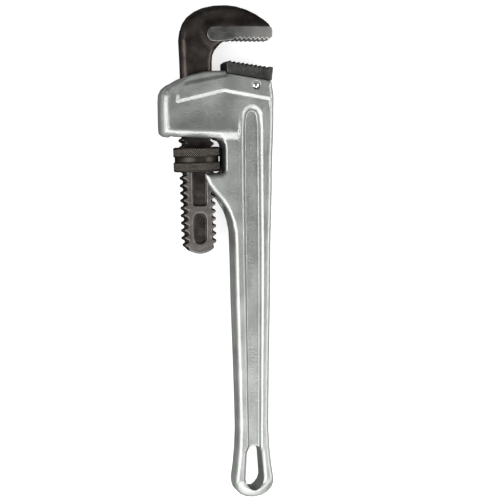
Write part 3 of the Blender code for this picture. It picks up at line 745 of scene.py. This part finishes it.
def build_nut():
    """Ring nut: knurled bands outside, thread inside."""
    around, levels, knurls, corner = 504, 77, 72, 1.5
    turn = 2.0 * math.pi * np.arange(around) / around
    rings, tips = [], []
    for s in np.linspace(-NUT_HALF, NUT_HALF, levels):
        rim = NUT_HALF - abs(s)
        round_off = corner - math.sqrt(max(corner ** 2 - max(corner - rim, 0.0) ** 2, 0.0))
        groove = float(ease((2.5 - abs(s)) / 0.7)) * 1.05
        band = float(ease((abs(s) - 2.5) / 0.5) * ease((8.7 - abs(s)) / 0.5))
        one = turn / (2.0 * math.pi) * knurls + s / 1.75
        two = turn / (2.0 * math.pi) * knurls - s / 1.75
        cut = np.maximum(np.abs(2.0 * (one % 1.0) - 1.0), np.abs(2.0 * (two % 1.0) - 1.0))
        knurl = ((cut - 0.35) / 0.65).clip(0.0, 1.0)
        radius = NUT_RADIUS - 0.02 - round_off - groove - band * 0.55 * knurl
        rings.append(np.stack((radius * np.sin(turn), radius * np.cos(turn),
                               np.full(around, s)), axis=1))
        tips.append(band * (1.0 - knurl))
    bore = []
    bore_crest, bore_root = 14.8, 12.2
    for s in np.linspace(NUT_HALF, -NUT_HALF, levels):
        radius = thread(s, np.sin(turn), np.cos(turn), bore_crest, bore_root)
        lead = max(0.0, 1.2 - (NUT_HALF - abs(s))) / 1.2
        radius = np.maximum(radius, bore_root + 3.0 * lead)
        bore.append(np.stack((radius * np.sin(turn), radius * np.cos(turn),
                              np.full(around, s)), axis=1))
    rings += bore
    tips += [np.zeros(around)] * len(bore)
    local = np.concatenate(rings)
    faces = grid_faces(len(rings), around)
    last = (len(rings) - 1) * around
    i = np.arange(around)
    j = (i + 1) % around
    faces = np.concatenate((faces, np.stack((last + i, last + j, j, i), axis=1)))
    x = NUT_CENTRE[0] + local[:, 0] * math.cos(LEAN) - local[:, 2] * math.sin(LEAN)
    y = NUT_CENTRE[1] + local[:, 0] * math.sin(LEAN) + local[:, 2] * math.cos(LEAN)
    obj = add_mesh("adjusting_nut_ring", np.stack((x, y, local[:, 1]), axis=1), faces,
                   nut_material(), {"tip": np.concatenate(tips)})
    obj.data.set_sharp_from_angle(angle=math.radians(50.0))
    return obj


def build_strip():
    """Ground tooth strip on the hook jaw's head."""
    def strip(x, y, z):
        return plate(strip_side(x, y), np.abs(z) - STRIP_HALF, 0.7)

    points, quads = surface(strip, np.arange(-9.6, 48.0, 0.33), np.arange(172.9, 188.2, 0.33),
                            np.arange(-10.6, 10.7, 0.33))
    # Painted sheen: the strip's colour is lightened towards its right-hand end.
    material = steel_material("strip_steel_look", (0.13, 0.128, 0.12), (0.25, 0.25, 0.24),
                              (0.6, 0.59, 0.57), (0.30, 0.42), (0.12, 1.6, 1.6), 1500.0,
                              edge=(0.54, 0.66), painted_sheen_span=(0.012, 0.048, 0.0, 0.75))
    return add_mesh("hook_tooth_strip", points, quads, material)


def build_heel():
    """Toothed heel jaw and the tongue that holds it in the housing."""
    teeth = tooth_row((10.4, 158.9), (42.9, 154.2), 9, -2.5)
    outline = [(7.5, 149.15), (45.0, 142.95), (46.3, 153.7)]
    outline += list(reversed(teeth)) + [(7.5, 157.0)]
    side = Outline(subdivide(outline))

    def heel(x, y, z):
        block = plate(side(x, y), np.abs(z) - HEEL_HALF, 0.35)
        tongue = np.maximum(np.maximum(np.abs(x - 28.0) - 12.0, np.abs(y - 140.0) - 8.0),
                            np.abs(z) - TONGUE_HALF)
        bore = np.hypot(x - PIN_CENTRE[0], y - PIN_CENTRE[1]) - PIN_RADIUS - PIN_FIT
        return np.maximum(smin(block, tongue, 0.4), -np.maximum(bore, y - 142.8))

    points, quads = surface(heel, np.arange(6.6, 47.4, 0.36), np.arange(131.2, 160.0, 0.36),
                            np.arange(-12.6, 12.7, 0.36))
    # Painted sheen: the heel's colour is lightened at its right-hand end.
    material = steel_material("heel_steel_look", (0.060, 0.059, 0.057), (0.135, 0.134, 0.130),
                              (0.16, 0.158, 0.15), (0.33, 0.45), (1.6, 0.4, 1.6), 1200.0,
                              edge=(0.54, 0.64), painted_sheen_span=(0.0385, 0.0445, 0.0, 0.5))
    return add_mesh("heel_jaw_insert", points, quads, material)


def build_pin():
    """Slotted spring pin with domed ends."""
    inner, half, dome, steps = 0.45, 14.0, 1.7, 72
    # Where the slit points and half its width, both as angles.
    slit_at, slit = -2.1, 0.25
    turn = slit_at + np.linspace(slit, 2.0 * math.pi - slit, steps)
    profile = [(inner, half - 0.6)]
    for r in np.linspace(inner + 0.1, PIN_RADIUS, 12):
        profile.append((r, half - 0.03 - dome * (r / PIN_RADIUS) ** 2.0))
    profile += [(r, -z) for r, z in reversed(profile)]
    rings = [np.stack((PIN_CENTRE[0] + r * np.cos(turn), PIN_CENTRE[1] + r * np.sin(turn),
                       np.full(steps, z)), axis=1) for r, z in profile]
    points = np.concatenate(rings)
    faces = grid_faces(len(rings) + 1, steps, closed=False) % len(points)
    caps = []
    for step in (0, steps - 1):
        ids = [row * steps + step for row in range(len(rings))]
        for low in range(len(ids) // 2 - 1):
            quad = [ids[low], ids[low + 1], ids[-low - 2], ids[-low - 1]]
            caps.append(quad if step == 0 else quad[::-1])
    material = steel_material("pin_steel_look", (0.50, 0.50, 0.50), (0.70, 0.70, 0.70),
                              (0.8, 0.8, 0.8), (0.14, 0.2))
    obj = add_mesh("heel_jaw_spring_pin", points, np.concatenate((faces, np.array(caps))), material)
    return tidy_normals(obj, 40.0)


def build_leaf():
    """Flat spring, following its bent path."""
    path = ((-38.3, 134.0), (-38.3, 130.0), (-38.3, 126.5), (-38.1, 123.0), (-37.2, 119.6),
            (-35.9, 116.4), (-34.2, 112.4), (-32.9, 109.0), (-32.4, 106.6), (-32.5, 104.4),
            (-33.2, 102.4), (-33.7, 101.7))
    sides = ([], [])
    for i, (x, y) in enumerate(path):
        before, after = Vector(path[max(i - 1, 0)]), Vector(path[min(i + 1, len(path) - 1)])
        run = (after - before).normalized()
        half = LEAF_THICK / 2.0
        sides[0].append((x - run.y * half, y + run.x * half))
        sides[1].append((x + run.y * half, y - run.x * half))
    bm = bmesh.new()
    prism(bm, sides[0] + list(reversed(sides[1])), -LEAF_HALF, LEAF_HALF)
    material = steel_material("leaf_steel_look", (0.09, 0.10, 0.12), (0.16, 0.17, 0.19),
                              (0.4, 0.4, 0.42), (0.25, 0.35), (1.0, 1.0, 0.1), 1500.0)
    return bevelled("flat_spring_leaf", bm, material, 0.12, 1, 50.0)


def build_coil():
    """Compression spring with closed ends."""
    steps, sides, turns, wire, radius = 150, 12, 3.2, 0.5, 3.5
    foot, length = -42.6, 7.15
    rings = []
    for i in range(steps + 1):
        part = i / steps
        angle = 2.0 * math.pi * turns * part
        x = foot + length * float(ease(part)) * 0.35 + length * part * 0.65
        out = np.array((0.0, math.cos(angle), math.sin(angle)))
        thin = wire * min(1.0, 0.55 + 8.0 * min(part, 1.0 - part))
        centre = np.array((x, SPRING_Y, 0.0)) + out * radius
        for k in range(sides):
            turn = 2.0 * math.pi * k / sides
            rings.append(centre + (out * math.cos(turn)
                                   + np.array((1.0, 0.0, 0.0)) * math.sin(turn)) * thin)
    faces = grid_faces(steps + 1, sides)
    material = steel_material("coil_steel_look", (0.35, 0.35, 0.35), (0.55, 0.55, 0.55),
                              (0.7, 0.7, 0.7), (0.2, 0.3))
    return tidy_normals(add_mesh("coil_spring_wire", rings, faces, material), 40.0)


def build_rivet():
    """Round-headed rivet through the flat spring."""
    profile = ((-42.2, 0.0), (-42.2, RIVET_RADIUS), (-37.9, RIVET_RADIUS), (-37.9, 2.7),
               (-37.6, 2.78), (-37.3, 2.6), (-37.0, 2.1), (-36.85, 1.4), (-36.8, 0.0))
    steps = 40
    turn = 2.0 * math.pi * np.arange(steps) / steps
    rings = [np.stack((np.full(steps, x), RIVET_Y + max(r, 0.02) * np.cos(turn),
                       max(r, 0.02) * np.sin(turn)), axis=1) for x, r in profile]
    material = steel_material("rivet_steel_look", (0.30, 0.30, 0.29), (0.5, 0.5, 0.48),
                              (0.7, 0.7, 0.68), (0.28, 0.4))
    obj = add_mesh("spring_rivet_round", np.concatenate(rings),
                   grid_faces(len(rings), steps), material)
    return tidy_normals(obj, 40.0)


def place_pieces():
    """Build each piece, attach all but the two springs to the body they ride on, and hide the parts
    they replace.
    """
    casting_obj = build_casting()
    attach(casting_obj, "handle")
    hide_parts("handle")
    hook_obj = build_hook()
    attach(hook_obj, "hook")
    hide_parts("hook_jaw")
    strip = build_strip()
    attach(strip, "hook")
    nut = build_nut()
    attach(nut, "nut")
    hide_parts("adjusting_nut")
    heel = build_heel()
    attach(heel, "handle")
    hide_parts("heel_jaw")
    pin = build_pin()
    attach(pin, "handle")
    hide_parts("heel_jaw_pin")
    leaf = build_leaf()
    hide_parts("flat_spring")
    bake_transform(leaf)
    coil = build_coil()
    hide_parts("coil_spring")
    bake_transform(coil)
    rivet = build_rivet()
    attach(rivet, "handle")
    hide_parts("spring_rivet")


# ---------------------------------------------------------------- floor, light, camera
def add_floor():
    """Plain pale floor that reads as white to the camera."""
    bpy.ops.mesh.primitive_plane_add(size=12.0, location=(0.0, 0.0, 0.0))
    floor = bpy.context.object
    floor.name = "floor"
    material = bpy.data.materials.new("floor_white")
    material.use_nodes = True
    shader = material.node_tree.nodes["Principled BSDF"]
    shader.inputs["Base Color"].default_value = (0.50, 0.50, 0.50, 1.0)
    shader.inputs["Roughness"].default_value = 0.9
    shader.inputs["Specular IOR Level"].default_value = 0.1
    tree = material.node_tree
    seen = add_node(tree, "ShaderNodeLightPath").outputs["Is Camera Ray"]
    shader.inputs["Emission Color"].default_value = (1.0, 1.0, 1.0, 1.0)
    tree.links.new(maths(tree, "MULTIPLY", seen, 0.72), shader.inputs["Emission Strength"])
    floor.data.materials.append(material)


def add_softbox(name, place, target, width, height, power):
    """Rectangular lamp turned towards a place."""
    light = bpy.data.lights.new(name, "AREA")
    light.shape = "RECTANGLE"
    light.size = width
    light.size_y = height
    light.energy = power
    obj = bpy.data.objects.new(name, light)
    obj.location = place
    aim = Vector(target) - Vector(place)
    obj.rotation_euler = aim.to_track_quat("-Z", "Y").to_euler()
    bpy.context.scene.collection.objects.link(obj)


def light_scene():
    """Soft studio light from both sides, from the handle's end and from above."""
    world = bpy.data.worlds.new("studio")
    world.use_nodes = True
    world.node_tree.nodes["Background"].inputs["Color"].default_value = (1.0, 1.0, 1.0, 1.0)
    world.node_tree.nodes["Background"].inputs["Strength"].default_value = 0.14
    bpy.context.scene.world = world
    aim = (0.0, 0.0, 0.02)
    add_softbox("left_box", (-1.25, -0.35, 1.0), aim, 1.5, 1.5, 34.0)
    add_softbox("front_box", (0.05, -1.35, 1.0), aim, 1.5, 1.3, 23.0)
    add_softbox("right_box", (1.4, -0.1, 0.9), aim, 1.5, 0.9, 18.0)
    add_softbox("top_box", (0.55, -1.15, 1.9), (0.0, -0.1, 0.0), 1.4, 1.5, 9.2)


def add_camera():
    """Camera above the wrench and a little to its left."""
    data = bpy.data.cameras.new("camera")
    data.lens = 90.0
    data.sensor_width = 36.0
    data.clip_start = 0.05
    camera = bpy.data.objects.new("camera", data)
    right = Vector((0.96564, -0.01043, 0.25966)).normalized()
    up = Vector((0.03191, 0.99639, -0.07862))
    up = (up - right * up.dot(right)).normalized()
    back = right.cross(up)
    turn = Matrix((right, up, back)).transposed().to_4x4()
    place = (-0.23937, 0.09117, 1.01759)
    camera.matrix_world = Matrix.Translation(place) @ turn
    bpy.context.scene.collection.objects.link(camera)
    bpy.context.scene.camera = camera


place_pieces()
add_floor()
light_scene()
add_camera()
bpy.context.scene.view_settings.view_transform = "Standard"
